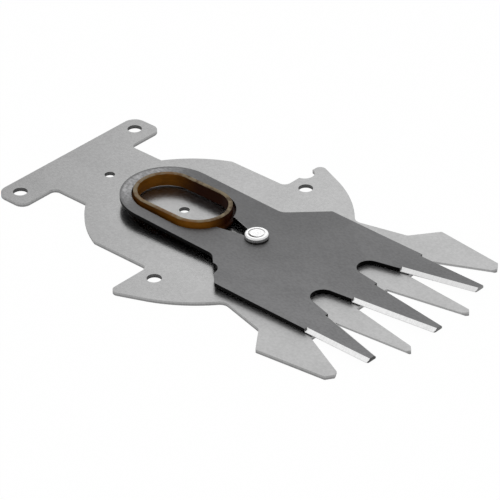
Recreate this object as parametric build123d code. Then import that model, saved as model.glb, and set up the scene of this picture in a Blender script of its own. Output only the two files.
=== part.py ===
from build123d import *
import os
from math import atan2, cos, degrees, sqrt, tan

# Two-blade cutting head of a cordless grass and shrub shear.
# The lower blade lies flat on z = 0 with its cutting face up. The origin is midway between the two
# holes of the mounting bar, X runs along the blades to the tips, Y across them.
# The upper blade turns on the rivet, over the fixed lower blade.

# Sheet steel
LOWER_THICKNESS = 1.2
UPPER_THICKNESS = 1.2

# Lower blade, mounting bar
BAR_REAR = 5.4
BAR_FRONT = 6.35
BAR_HALF_WIDTH = 30.28
BAR_REAR_RADIUS = 4.0
BAR_FRONT_RADIUS = 3.0
BAR_HOLE_SPACING = 50.0
BAR_HOLE_DIAMETER = 4.5

# Lower blade, neck and body
NECK_HALF_WIDTH = 16.5
NECK_END = 19.6
NECK_FILLET = 2.0
NECK_HOLE_X = 13.5
NECK_HOLE_DIAMETER = 3.2
BODY_HALF_WIDTH = 30.25
BODY_START = 36.6
BODY_SHOULDER_BULGE = 1.5
CENTRE_HOLE_X = 44.8
CENTRE_HOLE_DIAMETER = 3.2

# Lower blade, fins
FIN_REAR = 58.45
FIN_HALF_WIDTH = 47.0
FIN_INNER_FILLET = 2.2
FIN_TIP_RADIUS = 1.9
FIN_SLOPE_START = (70.0, 42.3)
FIN_SLOPE_BULGE = 1.3
FIN_HOLE_X = 64.0
FIN_HOLE_Y = 33.3
FIN_HOLE_DIAMETER = 4.5
SCALLOP_RADIUS = 3.1
SCALLOP_Y = 39.7
SCALLOP_OFFSET = 0.5

# Lower blade, waist and comb
WAIST_X = 87.55
WAIST_HALF_WIDTH = 28.72
WAIST_FILLET = 3.0
FLARE_START = (104.5, 32.85)
FLARE_FILLET = 1.5
COMB_CORNER = (110.8, 41.2)
COMB_CORNER_RADIUS = 0.6
LOWER_ROOT_X = 118.6
LOWER_ROOT_RADIUS = 0.5
OUTER_TOOTH_ROOT_Y = 26.6
OUTER_TOOTH_TIP = ((134.2, 38.55), (135.85, 36.1), (135.2, 34.45))
INNER_TOOTH_ROOT_Y = (6.65, 16.28)
INNER_TOOTH_TIP = ((143.1, 14.08), (144.15, 12.9), (142.6, 11.25))
TOOTH_CORNER_RADIUS = 0.35

# Relief ground under the cutting edges of the lower teeth
RELIEF_LAND = 0.6
RELIEF_INSET = 0.7
RELIEF_RUN_OUT = 1.0

# Upper blade, plan
TAIL_SIDE_RIM = 4.0
TAIL_REAR_RIM = 3.5
SHOULDER_START = 70.4
SHOULDER_END = 81.1
SHOULDER_FILLET = 4.0
WING_HALF_WIDTH = 26.0
SHOULDER_NOTCH_RADIUS = 3.4
SHOULDER_NOTCH_X = 74.1
SHOULDER_NOTCH_OFFSET = 2.1
GULLET_APEX = (89.3, 9.0)
GULLET_RADIUS = 3.8
MIDDLE_TOOTH_TIP = 143.5
MIDDLE_TIP_HALF_WIDTH = 1.9
SIDE_TOOTH_TIP = 139.2
SIDE_TIP_WIDTH = 3.93
TIP_CORNER_RADIUS = 0.8

# Bevels ground on the cutting edges of the upper teeth
BEVEL_START = 115.9
BEVEL_INSET = 1.0
BEVEL_LAND = 0.2

# Upper blade, bow: the gap over the lower blade at three places
TIP_GAP = 0.04
PIVOT_GAP = 1.12
TAIL_GAP = 2.8

# Drive opening, keyhole slot and pivot. The opening's gaps are measured to the bushing's wall.
OPENING_SIDE_GAP = 1.16
OPENING_REAR_GAP = 0.15
OPENING_FRONT_GAP = 0.86
OPENING_ROUNDING = 0.2
SLOT_MOUTH_X = 62.0
SLOT_MOUTH_HALF_WIDTH = 3.6
SLOT_NECK_X = 69.5
SLOT_NECK_HALF_WIDTH = 1.6
PIVOT_X = 74.1
SHANK_DIAMETER = 4.4
PIVOT_CLEARANCE = 0.05
HEAD_DIAMETER = 7.3
HEAD_HEIGHT = 1.5
HEAD_CLEARANCE = 0.05
HEAD_ROUNDING = 0.55
HEAD_GROOVE_RADIUS = 2.6
HEAD_GROOVE_WIDTH = 0.45
HEAD_GROOVE_DEPTH = 0.2
STAKE_DIAMETER = 6.0
STAKE_DEPTH = 0.6

# Spacer between the blades
SPACER_DIAMETER = 9.0
SPACER_BORE_CLEARANCE = 0.1
SPACER_CLEARANCE = 0.04

# Drive bushing
BUSHING_INNER_RADIUS = 8.74
BUSHING_WALL = 1.3
BUSHING_REAR_X = 37.5
BUSHING_FRONT_X = 51.0
BUSHING_STAND = 1.4
BUSHING_FLOOR_GAP = 0.45
BUSHING_RIM_CHAMFER = 0.25
FLANGE_WIDTH = 1.06
FLANGE_THICKNESS = 0.8
FLANGE_WING_HALF_WIDTH = 12.8
FLANGE_WING_LENGTH = 12.0
FLANGE_WING_ROUNDING = 0.8

# Cutters reach this far past what they cut
MARGIN = 5.0
TALL = 20.0
TOLERANCE = 0.01


def mirrored(points):
    """The points of the far half, then the same points of the near half, as one closed outline."""
    return list(points) + [(x, -y) for x, y in reversed(points)]


def vertex_near(shape, point):
    """The corner of a flat shape that lies nearest to a point."""
    return min(shape.vertices(), key=lambda v: (v.X - point[0]) ** 2 + (v.Y - point[1]) ** 2)


def round_both(shape, point, radius):
    """Rounds a corner of the outline and its mirror image across the X axis."""
    for side in (1, -1):
        shape = fillet(vertex_near(shape, (point[0], side * point[1])), radius)
    return shape


def disc(x, y, diameter):
    return Pos(x, y) * Circle(diameter / 2)


def stadium(rear_x, front_x, radius):
    """A slot outline with its two end centres on the X axis."""
    middle = Pos((rear_x + front_x) / 2, 0) * Rectangle(front_x - rear_x, 2 * radius)
    return middle + Pos(rear_x, 0) * Circle(radius) + Pos(front_x, 0) * Circle(radius)


def bulged_half(points, bulges):
    """A closed face over the X axis: straight edges, with a bulging arc where a bulge is named."""
    edges = []
    for i, (start, end) in enumerate(zip(points, points[1:])):
        if i in bulges:
            edges.append(SagittaArc(start, end, bulges[i]))
        else:
            edges.append(Line(start, end))
    edges.append(Line(points[-1], points[0]))
    return make_face(Wire(edges))


def lower_outline():
    """Plan of the lower blade without holes or gaps between the teeth."""
    rear = [
        (-BAR_REAR, 0),
        (-BAR_REAR, BAR_HALF_WIDTH),
        (BAR_FRONT, BAR_HALF_WIDTH),
        (BAR_FRONT, NECK_HALF_WIDTH),
        (NECK_END, NECK_HALF_WIDTH),
        (BODY_START, BODY_HALF_WIDTH),
        (FIN_REAR, BODY_HALF_WIDTH),
        (FIN_REAR, FIN_HALF_WIDTH),
    ]
    front = [
        FIN_SLOPE_START,
        (WAIST_X, WAIST_HALF_WIDTH),
        FLARE_START,
        COMB_CORNER,
        *OUTER_TOOTH_TIP,
        (LOWER_ROOT_X, OUTER_TOOTH_ROOT_Y),
        (LOWER_ROOT_X, 0),
    ]
    bulges = {4: BODY_SHOULDER_BULGE, 8: FIN_SLOPE_BULGE}
    half = bulged_half(rear + front, bulges)
    return half + mirror(half, about=Plane.XZ)


def lower_inner_tooth():
    """Plan of one of the two middle teeth of the lower comb, run back into the plate."""
    root_in, root_out = INNER_TOOTH_ROOT_Y
    back = LOWER_ROOT_X - MARGIN
    return make_face(Polyline(
        (back, root_in), (LOWER_ROOT_X, root_in), INNER_TOOTH_TIP[2], INNER_TOOTH_TIP[1],
        INNER_TOOTH_TIP[0], (LOWER_ROOT_X, root_out), (back, root_out), close=True))


def lower_plan():
    """Full plan of the lower blade: outline, comb, rounded corners, scallop and holes."""
    plan = lower_outline() + lower_inner_tooth() + mirror(lower_inner_tooth(), about=Plane.XZ)
    corners = [
        ((-BAR_REAR, BAR_HALF_WIDTH), BAR_REAR_RADIUS),
        ((BAR_FRONT, BAR_HALF_WIDTH), BAR_FRONT_RADIUS),
        ((BAR_FRONT, NECK_HALF_WIDTH), NECK_FILLET),
        ((FIN_REAR, BODY_HALF_WIDTH), FIN_INNER_FILLET),
        ((FIN_REAR, FIN_HALF_WIDTH), FIN_TIP_RADIUS),
        ((WAIST_X, WAIST_HALF_WIDTH), WAIST_FILLET),
        (FLARE_START, FLARE_FILLET),
        (COMB_CORNER, COMB_CORNER_RADIUS),
        ((LOWER_ROOT_X, OUTER_TOOTH_ROOT_Y), LOWER_ROOT_RADIUS),
        ((LOWER_ROOT_X, INNER_TOOTH_ROOT_Y[0]), LOWER_ROOT_RADIUS),
        ((LOWER_ROOT_X, INNER_TOOTH_ROOT_Y[1]), LOWER_ROOT_RADIUS),
    ]
    corners += [(tip, TOOTH_CORNER_RADIUS) for tip in OUTER_TOOTH_TIP + INNER_TOOTH_TIP]
    for point, radius in corners:
        plan = round_both(plan, point, radius)
    plan -= disc(FIN_REAR - SCALLOP_OFFSET, SCALLOP_Y, 2 * SCALLOP_RADIUS)
    for side in (1, -1):
        plan -= disc(0, side * BAR_HOLE_SPACING / 2, BAR_HOLE_DIAMETER)
        plan -= disc(FIN_HOLE_X, side * FIN_HOLE_Y, FIN_HOLE_DIAMETER)
    plan -= disc(NECK_HOLE_X, 0, NECK_HOLE_DIAMETER)
    plan -= disc(CENTRE_HOLE_X, 0, CENTRE_HOLE_DIAMETER)
    plan -= disc(PIVOT_X, 0, SHANK_DIAMETER)
    return plan


def edge_wedge(start, end, profile, overrun):
    """A cutter along one tooth edge. The profile's first value is the distance into the tooth."""
    run = Vector(end[0] - start[0], end[1] - start[1], end[2] - start[2])
    heading = degrees(atan2(run.Y, run.X))
    across = Plane(origin=start, x_dir=Vector(0, 1, 0).rotate(Axis.Z, heading),
                   z_dir=Vector(1, 0, 0).rotate(Axis.Z, heading))
    face = across * make_face(Polyline(*profile, close=True))
    return extrude(face, amount=run.length + overrun, dir=run.normalized())


def lower_relief(start, end, into):
    """The relief ground away under one cutting edge of the lower comb."""
    depth = LOWER_THICKNESS - RELIEF_LAND
    deep_inset = into * RELIEF_INSET * (depth + MARGIN) / depth
    outside = -into * MARGIN
    profile = [(0, depth), (deep_inset, -MARGIN), (outside, -MARGIN), (outside, depth)]
    return edge_wedge((*start, 0), (*end, 0), profile, RELIEF_RUN_OUT)


def lower_reliefs():
    """Relief cutters of the far half: both sides of the middle tooth and inside the outer one."""
    root_in, root_out = INNER_TOOTH_ROOT_Y
    return [
        lower_relief((LOWER_ROOT_X, root_in), INNER_TOOTH_TIP[2], 1),
        lower_relief((LOWER_ROOT_X, root_out), INNER_TOOTH_TIP[0], -1),
        lower_relief((LOWER_ROOT_X, OUTER_TOOTH_ROOT_Y), OUTER_TOOTH_TIP[2], 1),
    ]


def lower_blade():
    """The fixed comb: one stamped sheet, with the seat for the rivet's lower end."""
    blade = extrude(lower_plan(), amount=LOWER_THICKNESS)
    for cutter in lower_reliefs():
        blade = blade - cutter - mirror(cutter, about=Plane.XZ)
    return blade - stake_seat()


def stake_seat():
    """The countersink under the lower blade that the rivet's spread end fills."""
    return Pos(PIVOT_X, 0, STAKE_DEPTH / 2) * Cone(STAKE_DIAMETER / 2, SHANK_DIAMETER / 2, STAKE_DEPTH)


def bow_circle():
    """Centre and radius of the upper blade's underside in side view, through its three named gaps."""
    tail_x, tail_radius = tail()
    arc = ThreePointArc((tail_x - tail_radius, 0, LOWER_THICKNESS + TAIL_GAP),
                        (PIVOT_X, 0, LOWER_THICKNESS + PIVOT_GAP),
                        (MIDDLE_TOOTH_TIP, 0, LOWER_THICKNESS + TIP_GAP))
    return arc.arc_center, arc.radius


def bow_height(x):
    """Height of the upper blade's underside at x."""
    centre, radius = bow_circle()
    return centre.Z - sqrt(radius ** 2 - (x - centre.X) ** 2)


def bow_arc(offset):
    """Side view of the underside, shifted up by an offset and run on past both ends of the blade."""
    tail_x, tail_radius = tail()
    ends = (tail_x - tail_radius - MARGIN, PIVOT_X, MIDDLE_TOOTH_TIP + MARGIN)
    return ThreePointArc(*[(x, 0, bow_height(x) + offset) for x in ends])


def bowed_sheet(low, high):
    """A gently bowed sheet over the whole plan, between two offsets from the blade's underside."""
    under, over = bow_arc(low), bow_arc(high)
    side = make_face(Wire([under, Line(under @ 1, over @ 1), over, Line(over @ 0, under @ 0)]))
    return extrude(side, amount=WING_HALF_WIDTH + MARGIN, both=True)


def gullet_side(x, outer):
    """Half width at x of the far gullet's outer or inner side, a line from its apex to a tooth tip."""
    apex_x, apex_y = GULLET_APEX
    tip_x, tip_y = (MIDDLE_TOOTH_TIP, MIDDLE_TIP_HALF_WIDTH)
    if outer:
        tip_x, tip_y = (SIDE_TOOTH_TIP, WING_HALF_WIDTH - SIDE_TIP_WIDTH)
    return apex_y + (tip_y - apex_y) * (x - apex_x) / (tip_x - apex_x)


def gullet():
    """Plan of the far gullet between two upper teeth, a rounded wedge open to the front."""
    front = MIDDLE_TOOTH_TIP + MARGIN
    wedge = make_face(Polyline(
        GULLET_APEX, (front, gullet_side(front, False)), (front, gullet_side(front, True)), close=True))
    return fillet(vertex_near(wedge, GULLET_APEX), GULLET_RADIUS)


def shoulder_notch():
    """The round nick in the near shoulder, centred outside its sloping edge."""
    tail_half_width = tail()[1]
    slope = atan2(WING_HALF_WIDTH - tail_half_width, SHOULDER_END - SHOULDER_START)
    rise = (SHOULDER_NOTCH_X - SHOULDER_START) * tan(slope)
    y = tail_half_width + rise + SHOULDER_NOTCH_OFFSET / cos(slope)
    return disc(SHOULDER_NOTCH_X, -y, 2 * SHOULDER_NOTCH_RADIUS)


def opening_size():
    """Rear centre, front centre and radius of the opening, closer to the bushing's wall at its rear."""
    radius = BUSHING_INNER_RADIUS + BUSHING_WALL + OPENING_SIDE_GAP
    rear_x = BUSHING_REAR_X + OPENING_SIDE_GAP - OPENING_REAR_GAP
    front_x = BUSHING_FRONT_X - OPENING_SIDE_GAP + OPENING_FRONT_GAP
    return rear_x, front_x, radius


def tail():
    """Centre and radius of the round tail, a rim around the rear of the drive opening."""
    rear_x, _, radius = opening_size()
    tail_radius = radius + TAIL_SIDE_RIM
    return rear_x - radius - TAIL_REAR_RIM + tail_radius, tail_radius


def keyhole():
    """The slot from the drive opening to the pivot, and the round hole that it ends in."""
    slot = make_face(Polyline(*mirrored([
        (BUSHING_FRONT_X, SLOT_MOUTH_HALF_WIDTH), (SLOT_MOUTH_X, SLOT_MOUTH_HALF_WIDTH),
        (SLOT_NECK_X, SLOT_NECK_HALF_WIDTH), (PIVOT_X, SLOT_NECK_HALF_WIDTH)]), close=True))
    return slot + disc(PIVOT_X, 0, SHANK_DIAMETER + 2 * PIVOT_CLEARANCE)


def upper_plan():
    """Plan of the upper blade: round tail, wings, gullets, tips, drive opening and keyhole."""
    tail_x, tail_radius = tail()
    wings = make_face(Polyline(*mirrored([
        (tail_x, tail_radius), (SHOULDER_START, tail_radius),
        (SHOULDER_END, WING_HALF_WIDTH), (SIDE_TOOTH_TIP, WING_HALF_WIDTH)]), close=True))
    middle = make_face(Polyline(*mirrored([
        (SHOULDER_END, GULLET_APEX[1]), (MIDDLE_TOOTH_TIP, GULLET_APEX[1])]), close=True))
    plan = wings + middle
    plan = round_both(plan, (SHOULDER_START, tail_radius), SHOULDER_FILLET)
    plan += Pos(tail_x, 0) * Circle(tail_radius)
    plan -= gullet()
    plan -= mirror(gullet(), about=Plane.XZ)
    plan -= shoulder_notch()
    for tip_x in (SIDE_TOOTH_TIP, MIDDLE_TOOTH_TIP):
        corners = [v for v in plan.vertices() if abs(v.X - tip_x) < TOLERANCE]
        plan = fillet(corners, TIP_CORNER_RADIUS)
    return plan - stadium(*opening_size()) - keyhole()


def upper_bevel(start, end, into):
    """The bevel ground on one cutting edge of an upper tooth, from near its foot to its top."""
    rise = UPPER_THICKNESS - BEVEL_LAND
    high_inset = into * BEVEL_INSET * (rise + MARGIN) / rise
    outside = -into * MARGIN
    high = UPPER_THICKNESS + MARGIN
    profile = [(0, BEVEL_LAND), (high_inset, high), (outside, high), (outside, BEVEL_LAND)]
    return edge_wedge((*start, bow_height(start[0])), (*end, bow_height(end[0])), profile, MARGIN)


def upper_bevels():
    """Bevel cutters of the far half: the middle tooth's side and both sides of the side tooth."""
    return [
        upper_bevel((BEVEL_START, gullet_side(BEVEL_START, False)),
                    (MIDDLE_TOOTH_TIP, MIDDLE_TIP_HALF_WIDTH), -1),
        upper_bevel((BEVEL_START, gullet_side(BEVEL_START, True)),
                    (SIDE_TOOTH_TIP, WING_HALF_WIDTH - SIDE_TIP_WIDTH), 1),
        upper_bevel((BEVEL_START, WING_HALF_WIDTH), (SIDE_TOOTH_TIP, WING_HALF_WIDTH), -1),
    ]


def upper_blade():
    """The moving blade: a bowed sheet cut to its plan, with the teeth's bevels ground on."""
    blade = extrude(upper_plan(), amount=TALL) & bowed_sheet(0, UPPER_THICKNESS)
    for cutter in upper_bevels():
        blade = blade - cutter - mirror(cutter, about=Plane.XZ)
    return fillet(opening_rim(blade), OPENING_ROUNDING)


def opening_rim(blade):
    """The upper edge of the drive opening and of the keyhole slot that runs on from it."""
    sheet_faces = blade.faces().filter_by(GeomType.CYLINDER).sort_by(SortBy.AREA)[-2:]
    upper_face = sheet_faces.sort_by(Axis.Z)[-1]
    return upper_face.inner_wires()[0].edges()


def pivot_rivet():
    """The rivet: a round head with a turned groove, its shank, and the end spread in its seat."""
    head_radius = HEAD_DIAMETER / 2
    head_bottom = bow_height(PIVOT_X - head_radius) + UPPER_THICKNESS + HEAD_CLEARANCE
    head = Pos(PIVOT_X, 0, head_bottom + HEAD_HEIGHT / 2) * Cylinder(head_radius, HEAD_HEIGHT)
    head = fillet(head.edges().group_by(Axis.Z)[-1], HEAD_ROUNDING)
    groove = Circle(HEAD_GROOVE_RADIUS) - Circle(HEAD_GROOVE_RADIUS - HEAD_GROOVE_WIDTH)
    top = head_bottom + HEAD_HEIGHT
    head -= extrude(Pos(PIVOT_X, 0, top - HEAD_GROOVE_DEPTH) * groove, amount=MARGIN)
    shank = Pos(PIVOT_X, 0, head_bottom / 2) * Cylinder(SHANK_DIAMETER / 2, head_bottom)
    return head + shank + stake_seat()


def spacer_washer():
    """The washer that holds the blades apart at the pivot."""
    radius = SPACER_DIAMETER / 2
    thickness = bow_height(PIVOT_X + radius) - SPACER_CLEARANCE - LOWER_THICKNESS
    ring = Circle(radius) - Circle(SHANK_DIAMETER / 2 + SPACER_BORE_CLEARANCE)
    return extrude(Pos(PIVOT_X, 0, LOWER_THICKNESS) * ring, amount=thickness)


def drive_bushing():
    """The plastic liner of the drive opening: an upright ring on a flange under the blade."""
    middle_x = (BUSHING_REAR_X + BUSHING_FRONT_X) / 2
    wall_radius = BUSHING_INNER_RADIUS + BUSHING_WALL
    bottom = LOWER_THICKNESS + BUSHING_FLOOR_GAP
    top = bow_height(middle_x) + UPPER_THICKNESS + BUSHING_STAND
    bore = stadium(BUSHING_REAR_X, BUSHING_FRONT_X, BUSHING_INNER_RADIUS)
    ring_plan = stadium(BUSHING_REAR_X, BUSHING_FRONT_X, wall_radius) - bore
    ring = extrude(Pos(0, 0, bottom) * ring_plan, amount=top - bottom)
    ring = chamfer(ring.edges().group_by(Axis.Z)[-1], BUSHING_RIM_CHAMFER)
    wings = Pos(middle_x, 0) * RectangleRounded(
        FLANGE_WING_LENGTH, 2 * FLANGE_WING_HALF_WIDTH, FLANGE_WING_ROUNDING)
    flange_plan = stadium(BUSHING_REAR_X, BUSHING_FRONT_X, wall_radius + FLANGE_WIDTH) + wings - bore
    flange = extrude(flange_plan, amount=TALL) & bowed_sheet(-FLANGE_THICKNESS, 0)
    return ring + flange


def main():
    os.makedirs("parts", exist_ok=True)
    pieces = {
        "lower_blade": lower_blade(),
        "upper_blade": upper_blade(),
        "drive_bushing": drive_bushing(),
        "pivot_rivet": pivot_rivet(),
        "spacer_washer": spacer_washer(),
    }
    for name, piece in pieces.items():
        export_step(piece, f"parts/{name}.step")
        print(name, "volume", round(piece.volume, 1), "solids", len(piece.solids()))


main()
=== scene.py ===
import math

import bpy
from mathutils import Matrix, Vector


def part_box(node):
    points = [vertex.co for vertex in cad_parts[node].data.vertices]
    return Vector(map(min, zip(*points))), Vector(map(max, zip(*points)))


bl_info = {
    "name": "Shrub Shear Blade",
    "version": (1, 0, 0),
    "blender": (4, 5, 0),
    "location": "3D View > Sidebar > Shear Blade",
    "description": "Dresses the two-blade cutting head of a shrub shear and sets its stage",
    "category": "Object",
}

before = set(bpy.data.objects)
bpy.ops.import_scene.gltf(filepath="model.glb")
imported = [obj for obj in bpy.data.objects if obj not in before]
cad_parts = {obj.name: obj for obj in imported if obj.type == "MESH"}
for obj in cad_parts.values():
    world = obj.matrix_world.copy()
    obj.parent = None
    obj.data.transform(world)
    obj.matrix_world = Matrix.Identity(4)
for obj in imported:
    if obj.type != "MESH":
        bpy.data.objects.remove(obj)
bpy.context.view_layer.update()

MM = 0.001

# Most of a noise's values lie in this range
MOST_NOISE = (0.3, 0.7)

# How far sharp edges are broken, how sharp they have to be, and what counts as one point of a mesh
SHEET_BREAK = 0.07 * MM
LINER_BREAK = 0.1 * MM
RIVET_BREAK = 0.06 * MM
SHARP_ANGLE = math.radians(35)
SAME_POINT = 0.002 * MM

# The lower blade is bright at its bar and grows rougher and paler towards its teeth, over this stretch
MATT_TEETH = (60.0 * MM, 105.0 * MM)

# Punched holes of the lower blade: x, y of the far one of a pair, and radius, all in mm; their walls get
# painted shade
HOLES = ((0.0, 25.0, 2.25), (13.5, 0.0, 1.6), (44.8, 0.0, 1.6), (64.0, 33.3, 2.25))
HOLE_REACH = 0.3

# The stamped edge of the lower blade: the height at which its smooth upper band begins
LOWER_THICKNESS = 1.2 * MM
SHEARED_BAND = (0.45 * LOWER_THICKNESS, 0.53 * LOWER_THICKNESS)

# Where the ground bevels of the upper teeth begin, along the blade
BEVEL_START = 115.9 * MM
BEVEL_BLEND = (BEVEL_START - 0.15 * MM, BEVEL_START + 0.05 * MM)

# A painted highlight lies on the rear end of the upper blade's tail, apart from its very rim
LIT_TAIL = (26.0 * MM, 36.0 * MM)
TAIL_CENTRE = (39.0 * MM, 0.0)
TAIL_RADIUS = 15.2 * MM
TAIL_RIM = (TAIL_RADIUS - 1.2 * MM, TAIL_RADIUS - 0.1 * MM)

# Slanted faces of the upper blade that aren't ground bevels get this grey, a painted highlight along
# their chamfered edges
CHAMFER_HIGHLIGHT = (0.34, 0.34, 0.34, 1.0)

# Painted light makes the upper blade a little paler towards its near side
LIT_NEAR_SIDE = (-22.0 * MM, 12.0 * MM)

# The upper teeth's cut ends are bare grey steel, with painted light making them paler towards the far
# side
END_STEEL = (0.12, 0.12, 0.12)
LIT_END_SIDES = (-18.0 * MM, 18.0 * MM)

# The rivet: its place, and the turning lines of its head in radians per metre
PIVOT_X = 74.1 * MM
TURNING_LINES = 42000.0

# Shade is painted into the ring groove in the rivet's head, more of it and wider towards the near side
GROOVE_OUTER = (2.56 * MM, 2.62 * MM)
GROOVE_INNER = (2.13 * MM, 2.19 * MM)
NEAR_SHADE = (-2.3 * MM, -0.6 * MM)
NEAR_SHADE_WIDTH = 0.3 * MM
PAINTED_SHADE = (0.09, 0.085, 0.08, 1.0)

# Shade is painted under the rim of the rivet's head, between these heights, and not on its spread lower
# end
UNDER_RIM_SHADE = (3.8 * MM, 4.1 * MM)
UNSHADED_BELOW = (0.8 * MM, 1.6 * MM)

# Painted shade darkens the liner's far front corner, where x and a multiple of y together are greatest
SHADE_CORNER = (45.0 * MM, 63.0 * MM)
SHADE_SLANT = 2.2
SHADE_RED = (0.012, 0.0008, 0.0002, 1.0)
SHADE_MOST = 0.95

# Painted shade darkens the liner's near outer wall towards the rear, and its flange beyond the opening
NEAR_WALL = (-5.0 * MM, -3.0 * MM)
WALL_SHADE_SPAN = (39.0 * MM, 51.0 * MM)
FLANGE_WINGS = (10.1 * MM, 10.3 * MM)

# The liner's rim gets a painted highlight on its upward faces, from this far below its top
RIM_HIGHLIGHT = (0.215, 0.17, 0.11, 1.0)
RIM_BELOW_TOP = (0.6 * MM, 0.3 * MM)

# Depths of the fine relief that only the light shows
GRAIN_DEPTH = 0.006 * MM
STREAK_DEPTH = 0.02 * MM
GRINDING_DEPTH = 0.01 * MM
PRESSED_DEPTH = 0.08 * MM
TURNING_DEPTH = 0.004 * MM
FLOW_DEPTH = 0.01 * MM

# The photograph's view of the part
VIEW_AZIMUTH = math.radians(-47.34)
VIEW_ELEVATION = math.radians(32.43)
VIEW_ROLL = math.radians(-0.84)
VIEW_TARGET = Vector((73.45, -2.29, 0.0)) * MM
VIEW_DISTANCE = 962.8 * MM
SENSOR = 36.0
LENS = 234.98
SEEN_FROM = 0.05
SEEN_TO = 50.0

# Two large round lamps: the key behind the part and a second one on its near left
KEY_SPOT = (-1.2, 1.8, 1.6)
KEY_SIZE = 1.0
SECOND_SPOT = (-0.85, -1.35, 1.5)
SECOND_SIZE = 1.0

# The floor lies just under the part; this share of it is plain white, the rest takes shadows
FLOOR_HEIGHT = -0.02 * MM
FLOOR_WHITE_SHARE = 0.98
WHITE = (1.0, 1.0, 1.0, 1.0)


class ShearFinishes(bpy.types.PropertyGroup):
    """Colours and grain of the blades, the rivet and the liner"""

    comb_colour: bpy.props.FloatVectorProperty(
        name="Comb steel", description="Colour of the bright lower blade",
        subtype="COLOR", size=3, min=0, max=1, default=(0.303, 0.303, 0.303))
    oxide_colour: bpy.props.FloatVectorProperty(
        name="Oxide finish", description="Colour of the dark upper blade's flat faces",
        subtype="COLOR", size=3, min=0, max=1, default=(0.14, 0.14, 0.142))
    # The upright stamped edges get a near-black colour as painted shade
    edge_colour: bpy.props.FloatVectorProperty(
        name="Oxide edges", description="Colour of the dark upper blade's stamped edges",
        subtype="COLOR", size=3, min=0, max=1, default=(0.004, 0.004, 0.004))
    # The underside gets a darker colour as painted shade, so the shadow it throws on the lower blade is
    # deeper
    under_colour: bpy.props.FloatVectorProperty(
        name="Oxide underside", description="Colour of the dark upper blade's shaded underside",
        subtype="COLOR", size=3, min=0, max=1, default=(0.025, 0.025, 0.026))
    ground_colour: bpy.props.FloatVectorProperty(
        name="Ground steel", description="Colour of the freshly ground bevels",
        subtype="COLOR", size=3, min=0, max=1, default=(0.66, 0.66, 0.66))
    rivet_colour: bpy.props.FloatVectorProperty(
        name="Rivet steel", description="Colour of the bright rivet and its washer",
        subtype="COLOR", size=3, min=0, max=1, default=(0.7, 0.7, 0.7))
    liner_colour: bpy.props.FloatVectorProperty(
        name="Liner plastic", description="Colour of the translucent liner",
        subtype="COLOR", size=3, min=0, max=1, default=(0.15, 0.055, 0.004))
    grain: bpy.props.FloatProperty(
        name="Grain", description="Size of the rolled steel's grain",
        subtype="DISTANCE", unit="LENGTH", min=0.00005, max=0.005, default=0.0004)


class ShearStage(bpy.types.PropertyGroup):
    """Floor, light and camera around the part"""

    floor_colour: bpy.props.FloatVectorProperty(
        name="Floor", description="Colour of the pale floor",
        subtype="COLOR", size=3, min=0, max=1, default=(0.92, 0.92, 0.92))
    floor_size: bpy.props.FloatProperty(
        name="Floor size", description="Side of the square floor",
        subtype="DISTANCE", unit="LENGTH", min=0.5, max=20, default=8.0)
    key_power: bpy.props.FloatProperty(
        name="Key light", description="Power of the large lamp behind the part",
        subtype="POWER", unit="POWER", min=0, max=200, default=2.2)
    second_power: bpy.props.FloatProperty(
        name="Second light", description="Power of the lamp on the near left",
        subtype="POWER", unit="POWER", min=0, max=200, default=1.2)
    sky_strength: bpy.props.FloatProperty(
        name="Surrounding light", description="Strength of the even light from all round",
        min=0, max=2, default=0.9)


def finishes():
    return bpy.context.scene.shear_finishes


def rgba(colour):
    return (*colour, 1.0)


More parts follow.
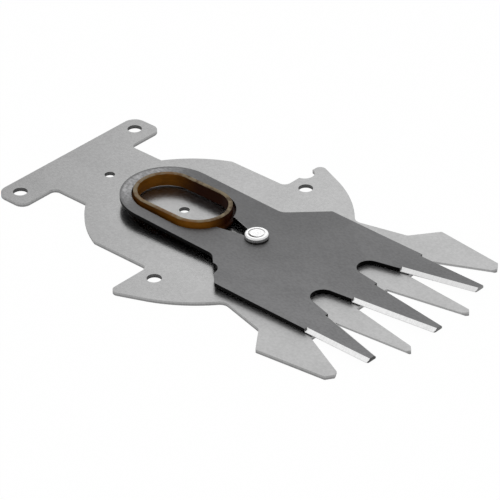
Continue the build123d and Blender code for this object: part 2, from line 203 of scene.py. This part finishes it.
class Finish:
    """A material and short ways to add and join its nodes. Places are in the part's frame, in metres."""

    def __init__(self, name):
        self.material = bpy.data.materials.new(name)
        self.material.use_nodes = True
        self.nodes = self.material.node_tree.nodes
        self.nodes.clear()
        output = self.nodes.new("ShaderNodeOutputMaterial")
        self.surface = self.nodes.new("ShaderNodeBsdfPrincipled")
        self.join(self.surface.outputs["BSDF"], output.inputs["Surface"])
        self.place = self.nodes.new("ShaderNodeTexCoord").outputs["Object"]
        self.facing = self.nodes.new("ShaderNodeNewGeometry").outputs["True Normal"]

    def join(self, source, target):
        self.material.node_tree.links.new(source, target)

    def feed(self, target, value):
        """Joins a socket, or sets a plain value."""
        if isinstance(value, bpy.types.NodeSocket):
            self.join(value, target)
        else:
            target.default_value = value

    def give(self, name, value):
        """Feeds an input of the surface."""
        self.feed(self.surface.inputs[name], value)

    def maths(self, operation, first, second=0.0, clamp=False):
        node = self.nodes.new("ShaderNodeMath")
        node.operation = operation
        node.use_clamp = clamp
        self.feed(node.inputs[0], first)
        self.feed(node.inputs[1], second)
        return node.outputs[0]

    def total(self, first, *others):
        for other in others:
            first = self.maths("ADD", first, other)
        return first

    def times(self, first, *others):
        for other in others:
            first = self.maths("MULTIPLY", first, other)
        return first

    def size(self, value):
        """The value without its sign."""
        return self.maths("ABSOLUTE", value)

    def axis(self, vector, name):
        node = self.nodes.new("ShaderNodeSeparateXYZ")
        self.join(vector, node.inputs[0])
        return node.outputs[name]

    def at(self, name):
        """The place along X, Y or Z."""
        return self.axis(self.place, name)

    def faces(self, name):
        """How much the surface faces X, Y or Z, from -1 to 1."""
        return self.axis(self.facing, name)

    def distance(self, x, y, mirrored=False):
        """Distance from an upright line at x, y, or from the nearer of two at x, y and x, -y."""
        across = self.size(self.at("Y")) if mirrored else self.at("Y")
        along = self.maths("SUBTRACT", self.at("X"), x)
        across = self.maths("SUBTRACT", across, y)
        return self.maths("SQRT", self.total(self.times(along, along), self.times(across, across)))

    def ramp(self, value, under_rim_shade, high, to_low=0.0, to_high=1.0):
        """Maps value from low..high to to_low..to_high, smoothly and clamped."""
        node = self.nodes.new("ShaderNodeMapRange")
        node.interpolation_type = "SMOOTHSTEP"
        self.join(value, node.inputs["Value"])
        node.inputs["From Min"].default_value = under_rim_shade
        node.inputs["From Max"].default_value = high
        node.inputs["To Min"].default_value = to_low
        node.inputs["To Max"].default_value = to_high
        return node.outputs["Result"]

    def fall(self, value, under_rim_shade, high):
        """1 up to low and 0 from high on."""
        return self.ramp(value, under_rim_shade, high, 1.0, 0.0)

    def between(self, share, to_low, to_high):
        """Goes from to_low to to_high with a share."""
        return self.ramp(share, 0.0, 1.0, to_low, to_high)

    def spread(self, noise, to_low, to_high):
        """Maps most of a noise to to_low..to_high."""
        return self.ramp(noise, *MOST_NOISE, to_low, to_high)

    def noise(self, stretch, detail=3.0, roughness=0.55):
        """Noise over the part, with a number of grains per metre along each axis."""
        mapping = self.nodes.new("ShaderNodeMapping")
        mapping.inputs["Scale"].default_value = stretch
        self.join(self.place, mapping.inputs["Vector"])
        node = self.nodes.new("ShaderNodeTexNoise")
        node.inputs["Scale"].default_value = 1.0
        node.inputs["Detail"].default_value = detail
        node.inputs["Roughness"].default_value = roughness
        self.join(mapping.outputs["Vector"], node.inputs["Vector"])
        return node.outputs["Fac"]

    def mix(self, share, first, second, kind="RGBA"):
        """Mixes two colours, or two numbers where kind is FLOAT, by a share."""
        node = self.nodes.new("ShaderNodeMix")
        node.data_type = kind
        self.feed(node.inputs["Factor"], share)
        self.feed(node.inputs["A"], first)
        self.feed(node.inputs["B"], second)
        return node.outputs["Result"]

    def tint(self, colour, share):
        """Multiplies a colour by a number that varies over the surface."""
        node = self.nodes.new("ShaderNodeVectorMath")
        node.operation = "SCALE"
        self.feed(node.inputs[0], colour)
        self.join(share, node.inputs["Scale"])
        return node.outputs[0]

    def bump(self, height, depth, strength=1.0, under=None):
        """Fine relief, on top of another one where under is given."""
        node = self.nodes.new("ShaderNodeBump")
        self.feed(node.inputs["Strength"], strength)
        node.inputs["Distance"].default_value = depth
        self.join(height, node.inputs["Height"])
        if under is not None:
            self.join(under, node.inputs["Normal"])
        return node.outputs["Normal"]


def dress(node, finish):
    """Gives every material slot of a CAD node one finish."""
    mesh_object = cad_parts[node]
    for slot in mesh_object.material_slots:
        slot.material = finish.material
    if not mesh_object.material_slots:
        mesh_object.data.materials.append(finish.material)


def soften_edges(node, width, segments=2):
    """Breaks the sharp edges of a CAD node a little, as stamping and tumbling do."""
    mesh_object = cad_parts[node]
    weld = mesh_object.modifiers.new("joined_edges", "WELD")
    weld.merge_threshold = SAME_POINT
    bevel = mesh_object.modifiers.new("broken_edges", "BEVEL")
    bevel.width = width
    bevel.segments = segments
    bevel.limit_method = "ANGLE"
    bevel.angle_limit = SHARP_ANGLE
    bevel.harden_normals = True


def hole_shade_mask(steel):
    """1 on the walls of the lower blade's punched holes, else 0: the mask of the shade painted into
    them.
    """
    inside = 0.0
    for x, y, radius in HOLES:
        away = steel.distance(x * MM, y * MM, mirrored=y > 0)
        near = steel.fall(away, radius * MM, (radius + HOLE_REACH) * MM)
        inside = steel.maths("MAXIMUM", near, inside)
    return inside


def comb_steel():
    """Bright rolled sheet: fine lengthwise grain, soft patches, stamped edges in two bands, and painted
    shade on the walls of its punched holes.
    """
    look = finishes()
    steel = Finish("comb_steel")
    grains = 1 / look.grain
    grain = steel.noise((grains * 0.35, grains, grains), detail=4.0)
    speckle = steel.noise((grains * 0.5, grains * 0.5, grains * 0.5), detail=2.0, roughness=0.4)
    patches = steel.noise((45.0, 70.0, 70.0), detail=2.0)
    streaks = steel.noise((2600.0, 2600.0, 120.0), detail=2.0)
    flat = steel.ramp(steel.size(steel.faces("Z")), 0.35, 0.75)
    sheared = steel.ramp(steel.at("Z"), *SHEARED_BAND)

    uneven = steel.total(
        steel.spread(grain, 0.93, 1.05),
        steel.spread(patches, -0.03, 0.03),
        steel.spread(speckle, -0.045, 0.045))
    paler = steel.ramp(steel.at("X"), *MATT_TEETH, 1.0, 1.36)
    face = steel.tint(look.comb_colour, steel.times(uneven, paler))
    # Painted shade: the walls of the punched holes are darkened as if shaded
    edge = steel.tint(look.comb_colour, steel.times(
        steel.between(sheared, 0.92, 1.15),
        steel.spread(streaks, 0.9, 1.06),
        steel.between(hole_shade_mask(steel), 1.0, 0.3)))
    steel.give("Base Color", steel.mix(flat, edge, face))
    steel.give("Metallic", 1.0)

    rough_face = steel.total(
        steel.ramp(grain, 0.25, 0.75, 0.21, 0.27),
        steel.ramp(steel.at("X"), *MATT_TEETH, 0.0, 0.2))
    rough_edge = steel.between(sheared, 0.62, 0.42)
    steel.give("Roughness", steel.mix(flat, rough_edge, rough_face, "FLOAT"))
    fine = steel.bump(grain, GRAIN_DEPTH, 0.15)
    steel.give("Normal", steel.bump(streaks, STREAK_DEPTH, steel.between(flat, 0.35, 0.0), fine))
    return steel


def oxide_steel():
    """Dark oxide sheet with edges and underside painted dark as shade, painted highlights on its tail
    and chamfers, and bright bevels ground on its teeth.
    """
    look = finishes()
    steel = Finish("oxide_steel")
    grains = 1 / look.grain
    grain = steel.noise((grains * 0.4, grains * 0.6, grains * 0.6), detail=4.0)
    cloud = steel.noise((60.0, 90.0, 90.0), detail=3.0)
    lines = steel.noise((9000.0, 250.0, 250.0), detail=2.0)
    along = steel.at("X")
    forward = steel.ramp(along, *BEVEL_BLEND)

    # The ground bevels: slanted faces of the teeth and the narrow upright lands under them
    upward = steel.size(steel.faces("Z"))
    flat = steel.ramp(upward, 0.35, 0.6)
    slanted = steel.times(flat, steel.fall(upward, 0.9, 0.96))
    sideways = steel.ramp(steel.size(steel.faces("Y")), 0.6, 0.9)
    land = steel.times(sideways, steel.fall(upward, 0.2, 0.35))
    ground = steel.times(steel.maths("ADD", slanted, land, clamp=True), forward)
    # Painted highlight on slanted faces that aren't ground bevels
    lit_chamfers = steel.maths("SUBTRACT", slanted, ground, clamp=True)

    # The flat faces: grain, clouds, a painted highlight on the tail, and painted light that makes them
    # paler forward and on the near side
    uneven = steel.total(steel.spread(grain, 0.83, 1.15), steel.spread(cloud, -0.07, 0.07))
    tail_highlight = steel.times(
        steel.fall(along, *LIT_TAIL),
        steel.fall(steel.distance(*TAIL_CENTRE), *TAIL_RIM),
        steel.ramp(grain, 0.35, 0.65, 0.6, 1.3))
    shade = steel.times(
        uneven,
        steel.total(steel.times(tail_highlight, 1.05), 0.88),
        # Painted light: paler towards the teeth
        steel.ramp(along, LIT_TAIL[1], BEVEL_START, 1.0, 1.26),
        # Painted light: paler towards the near side
        steel.ramp(steel.at("Y"), *LIT_NEAR_SIDE, 1.06, 0.93))

    ends = steel.times(steel.ramp(steel.faces("X"), 0.7, 0.9), forward)
    # Painted light: the cut ends grow paler towards the far side
    bare = steel.tint(END_STEEL, steel.ramp(steel.at("Y"), *LIT_END_SIDES, 0.55, 1.9))
    # Painted shade: the upright edges are near black; only the teeth's cut ends are bare grey steel
    edge = steel.mix(ends, rgba(look.edge_colour), bare)
    colour = steel.mix(flat, edge, steel.tint(look.oxide_colour, shade))
    # Painted shade: the underside is darkened
    under = steel.fall(steel.faces("Z"), -0.6, -0.35)
    colour = steel.mix(under, colour, steel.tint(look.under_colour, shade))
    colour = steel.mix(lit_chamfers, colour, CHAMFER_HIGHLIGHT)
    bright = steel.tint(look.ground_colour, steel.spread(lines, 0.93, 1.07))
    steel.give("Base Color", steel.mix(ground, colour, bright))
    steel.give("Metallic", 1.0)

    rough_face = steel.ramp(grain, 0.25, 0.75, 0.4, 0.5)
    steel.give("Roughness", steel.maths("SUBTRACT", rough_face, steel.times(ground, 0.12)))
    fine = steel.bump(grain, GRAIN_DEPTH, 0.5)
    steel.give("Normal", steel.bump(steel.times(lines, ground), GRINDING_DEPTH, 0.25, fine))
    return steel


def rivet_steel():
    """Bright turned steel with faint rings from the tool, and painted shade in its groove and under its
    rim.
    """
    look = finishes()
    steel = Finish("rivet_steel")
    radius = steel.distance(PIVOT_X, 0.0)
    rings = steel.maths("SINE", steel.times(radius, TURNING_LINES))
    dust = steel.noise((2500.0, 2500.0, 2500.0), detail=2.0)
    swirls = steel.noise((1100.0, 1100.0, 1100.0), detail=3.0)
    dents = steel.noise((700.0, 700.0, 700.0), detail=2.0)

    near_side = steel.fall(steel.at("Y"), *NEAR_SHADE)
    outside = steel.ramp(radius, *GROOVE_OUTER)
    inside = steel.fall(steel.total(radius, steel.times(near_side, NEAR_SHADE_WIDTH)), *GROOVE_INNER)
    groove_shade = steel.maths("SUBTRACT", 1.0, steel.maths("ADD", outside, inside, clamp=True))
    groove_shade = steel.times(groove_shade, steel.between(near_side, 0.3, 0.9))

    uneven = steel.total(steel.ramp(rings, -1.0, 1.0, 0.96, 1.02), steel.spread(dust, -0.04, 0.02))
    dull = steel.times(inside, steel.ramp(swirls, 0.35, 0.65, 0.0, 0.2))
    shade = steel.times(uneven, steel.maths("SUBTRACT", 1.0, dull))
    # Painted shade darkens the groove
    colour = steel.mix(groove_shade, steel.tint(look.rivet_colour, shade), PAINTED_SHADE)
    height = steel.at("Z")
    # Painted shade darkens the head's side just under its rim
    under_rim_shade = steel.times(steel.ramp(height, *UNDER_RIM_SHADE, 0.97, 0.0), steel.ramp(height, *UNSHADED_BELOW))
    steel.give("Base Color", steel.mix(under_rim_shade, colour, PAINTED_SHADE))
    steel.give("Metallic", 1.0)

    steel.give("Roughness", steel.spread(dust, 0.16, 0.26))
    pressed = steel.bump(dents, PRESSED_DEPTH, 0.5)
    steel.give("Normal", steel.bump(rings, TURNING_DEPTH, 0.25, pressed))
    return steel


def liner_plastic():
    """Amber brown moulded plastic that lets some light through, with painted shade on its far front
    corner, near outer wall and flange, and a painted highlight on its rim.
    """
    look = finishes()
    plastic = Finish("liner_plastic")
    cloud = plastic.noise((180.0, 180.0, 400.0), detail=3.0)
    flow = plastic.noise((60.0, 60.0, 1500.0), detail=2.0)
    blotches = plastic.noise((450.0, 450.0, 450.0), detail=3.0)
    along, across = plastic.at("X"), plastic.at("Y")

    # Painted shade on the far front corner
    corner = plastic.total(along, plastic.times(across, SHADE_SLANT))
    corner_shade = plastic.ramp(corner, *SHADE_CORNER, 0.0, SHADE_MOST)
    # Painted shade on the near outer wall and on the flange wings
    wall_shade = plastic.times(
        plastic.fall(plastic.faces("Y"), -0.6, -0.3),
        plastic.fall(across, *NEAR_WALL),
        plastic.ramp(along, *WALL_SHADE_SPAN, 0.55, 0.0))
    wing_shade = plastic.ramp(plastic.size(across), *FLANGE_WINGS, 0.0, SHADE_MOST)
    dark = plastic.maths("MAXIMUM", plastic.maths("MAXIMUM", corner_shade, wall_shade), wing_shade)
    uneven = plastic.total(plastic.spread(cloud, 0.8, 1.2), plastic.spread(flow, -0.08, 0.08))
    body = plastic.mix(dark, plastic.tint(look.liner_colour, uneven), SHADE_RED)

    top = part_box("drive_bushing")[1][2]
    # Painted highlight on the upward faces of the rim
    high = plastic.ramp(plastic.at("Z"), *(top - below for below in RIM_BELOW_TOP))
    rim = plastic.times(high, plastic.ramp(plastic.faces("Z"), 0.2, 0.5))
    lit_rim = plastic.times(rim, plastic.ramp(blotches, 0.35, 0.6, 0.35, 1.0))
    plastic.give("Base Color", plastic.mix(lit_rim, body, RIM_HIGHLIGHT))
    plastic.give("Transmission Weight", 0.1)
    plastic.give("IOR", 1.48)
    plastic.give("Specular IOR Level", 0.03)
    plastic.give("Roughness", plastic.spread(cloud, 0.38, 0.5))
    plastic.give("Normal", plastic.bump(flow, FLOW_DEPTH, 0.3))
    return plastic


class SHEAR_OT_lower_blade(bpy.types.Operator):
    """Dress the fixed lower blade as bright stamped sheet steel"""

    bl_idname = "shear.lower_blade"
    bl_label = "Lower blade"

    def execute(self, context):
        dress("lower_blade", comb_steel())
        soften_edges("lower_blade", SHEET_BREAK)
        return {"FINISHED"}


class SHEAR_OT_upper_blade(bpy.types.Operator):
    """Dress the moving upper blade as dark oxide steel with bright ground bevels"""

    bl_idname = "shear.upper_blade"
    bl_label = "Upper blade"

    def execute(self, context):
        dress("upper_blade", oxide_steel())
        return {"FINISHED"}


class SHEAR_OT_drive_liner(bpy.types.Operator):
    """Dress the liner of the drive opening as translucent amber plastic"""

    bl_idname = "shear.drive_liner"
    bl_label = "Drive liner"

    def execute(self, context):
        dress("drive_bushing", liner_plastic())
        soften_edges("drive_bushing", LINER_BREAK, 3)
        return {"FINISHED"}


class SHEAR_OT_pivot(bpy.types.Operator):
    """Dress the rivet and the washer between the blades as bright turned steel"""

    bl_idname = "shear.pivot"
    bl_label = "Pivot rivet and washer"

    def execute(self, context):
        steel = rivet_steel()
        dress("pivot_rivet", steel)
        dress("spacer_washer", steel)
        soften_edges("pivot_rivet", RIVET_BREAK, 3)
        return {"FINISHED"}


def seen_directly(nodes, links):
    """1 for rays from the camera, from polished metal and through clear plastic, else 0."""
    path = nodes.new("ShaderNodeLightPath")
    share = path.outputs["Is Camera Ray"]
    for kind in ("Is Glossy Ray", "Is Transmission Ray"):
        larger = nodes.new("ShaderNodeMath")
        larger.operation = "MAXIMUM"
        links.new(share, larger.inputs[0])
        links.new(path.outputs[kind], larger.inputs[1])
        share = larger.outputs[0]
    return share


def floor_finish(colour):
    """Matt floor that is mostly plain white where it is seen directly."""
    material = bpy.data.materials.new("pale_floor")
    material.use_nodes = True
    nodes, links = material.node_tree.nodes, material.node_tree.links
    nodes.clear()
    output = nodes.new("ShaderNodeOutputMaterial")
    matt = nodes.new("ShaderNodeBsdfDiffuse")
    matt.inputs["Color"].default_value = rgba(colour)
    glow = nodes.new("ShaderNodeEmission")
    glow.inputs["Color"].default_value = WHITE
    white = nodes.new("ShaderNodeMath")
    white.operation = "MULTIPLY"
    links.new(seen_directly(nodes, links), white.inputs[0])
    white.inputs[1].default_value = FLOOR_WHITE_SHARE
    mix = nodes.new("ShaderNodeMixShader")
    links.new(white.outputs[0], mix.inputs["Fac"])
    links.new(matt.outputs[0], mix.inputs[1])
    links.new(glow.outputs[0], mix.inputs[2])
    links.new(mix.outputs[0], output.inputs["Surface"])
    return material


def pale_floor():
    """A pale floor that looks white and still shows a soft shadow."""
    stage = bpy.context.scene.shear_stage
    half = stage.floor_size / 2
    mesh = bpy.data.meshes.new("floor")
    corners = [(-half, -half), (half, -half), (half, half), (-half, half)]
    mesh.from_pydata([(x, y, FLOOR_HEIGHT) for x, y in corners], [], [(0, 1, 2, 3)])
    floor = bpy.data.objects.new("floor", mesh)
    bpy.context.collection.objects.link(floor)
    mesh.materials.append(floor_finish(stage.floor_colour))


def white_surroundings():
    """Even light from all round, seen as plain white by the camera and in the metal."""
    stage = bpy.context.scene.shear_stage
    world = bpy.data.worlds.new("white_surroundings")
    world.use_nodes = True
    bpy.context.scene.world = world
    nodes, links = world.node_tree.nodes, world.node_tree.links
    background = nodes["Background"]
    background.inputs["Color"].default_value = WHITE
    strength = nodes.new("ShaderNodeMapRange")
    links.new(seen_directly(nodes, links), strength.inputs["Value"])
    strength.inputs["To Min"].default_value = stage.sky_strength
    strength.inputs["To Max"].default_value = 1.0
    links.new(strength.outputs["Result"], background.inputs["Strength"])


def area_lamp(name, spot, aim, size, power):
    """A round lamp at spot that points at aim."""
    lamp = bpy.data.lights.new(name, "AREA")
    lamp.shape = "DISK"
    lamp.size = size
    lamp.energy = power
    holder = bpy.data.objects.new(name, lamp)
    bpy.context.collection.objects.link(holder)
    holder.location = spot
    holder.rotation_euler = (Vector(aim) - Vector(spot)).to_track_quat("-Z", "Y").to_euler()


def camera_at_view():
    """The photograph's camera: its azimuth, height, slight roll, distance and lens."""
    level = math.cos(VIEW_ELEVATION)
    back = Vector((
        level * math.cos(VIEW_AZIMUTH),
        level * math.sin(VIEW_AZIMUTH),
        math.sin(VIEW_ELEVATION)))
    level_right = Vector((0, 0, 1)).cross(back).normalized()
    level_up = back.cross(level_right)
    right = math.cos(VIEW_ROLL) * level_right + math.sin(VIEW_ROLL) * level_up
    up = back.cross(right)
    data = bpy.data.cameras.new("camera")
    data.sensor_fit = "HORIZONTAL"
    data.sensor_width = SENSOR
    data.lens = LENS
    data.clip_start = SEEN_FROM
    data.clip_end = SEEN_TO
    camera = bpy.data.objects.new("camera", data)
    bpy.context.collection.objects.link(camera)
    turn = Matrix((right, up, back)).transposed().to_4x4()
    camera.matrix_world = Matrix.Translation(VIEW_TARGET + VIEW_DISTANCE * back) @ turn
    bpy.context.scene.camera = camera


class SHEAR_OT_stage(bpy.types.Operator):
    """Set the pale floor, the soft light and the camera"""

    bl_idname = "shear.stage"
    bl_label = "Stage"

    def execute(self, context):
        context.scene.view_settings.view_transform = "Standard"
        pale_floor()
        white_surroundings()
        stage = context.scene.shear_stage
        area_lamp("key_lamp", KEY_SPOT, VIEW_TARGET, KEY_SIZE, stage.key_power)
        area_lamp("second_lamp", SECOND_SPOT, VIEW_TARGET, SECOND_SIZE, stage.second_power)
        camera_at_view()
        return {"FINISHED"}


class SHEAR_PT_panel(bpy.types.Panel):
    """The part's finishes, its pieces and its stage"""

    bl_label = "Shear Blade"
    bl_idname = "SHEAR_PT_panel"
    bl_space_type = "VIEW_3D"
    bl_region_type = "UI"
    bl_category = "Shear Blade"

    def draw(self, context):
        for group in (context.scene.shear_finishes, context.scene.shear_stage):
            box = self.layout.box()
            for name in group.__annotations__:
                box.prop(group, name)
        for operator in OPERATORS:
            self.layout.operator(operator.bl_idname)


OPERATORS = (
    SHEAR_OT_lower_blade,
    SHEAR_OT_upper_blade,
    SHEAR_OT_drive_liner,
    SHEAR_OT_pivot,
    SHEAR_OT_stage,
)
CLASSES = (ShearFinishes, ShearStage, *OPERATORS, SHEAR_PT_panel)


def register():
    for item in CLASSES:
        bpy.utils.register_class(item)
    bpy.types.Scene.shear_finishes = bpy.props.PointerProperty(type=ShearFinishes)
    bpy.types.Scene.shear_stage = bpy.props.PointerProperty(type=ShearStage)


def unregister():
    del bpy.types.Scene.shear_stage
    del bpy.types.Scene.shear_finishes
    for item in reversed(CLASSES):
        bpy.utils.unregister_class(item)


def main():
    register()
    bpy.ops.shear.lower_blade()
    bpy.ops.shear.upper_blade()
    bpy.ops.shear.drive_liner()
    bpy.ops.shear.pivot()
    bpy.ops.shear.stage()


if __name__ == "__main__":
    main()
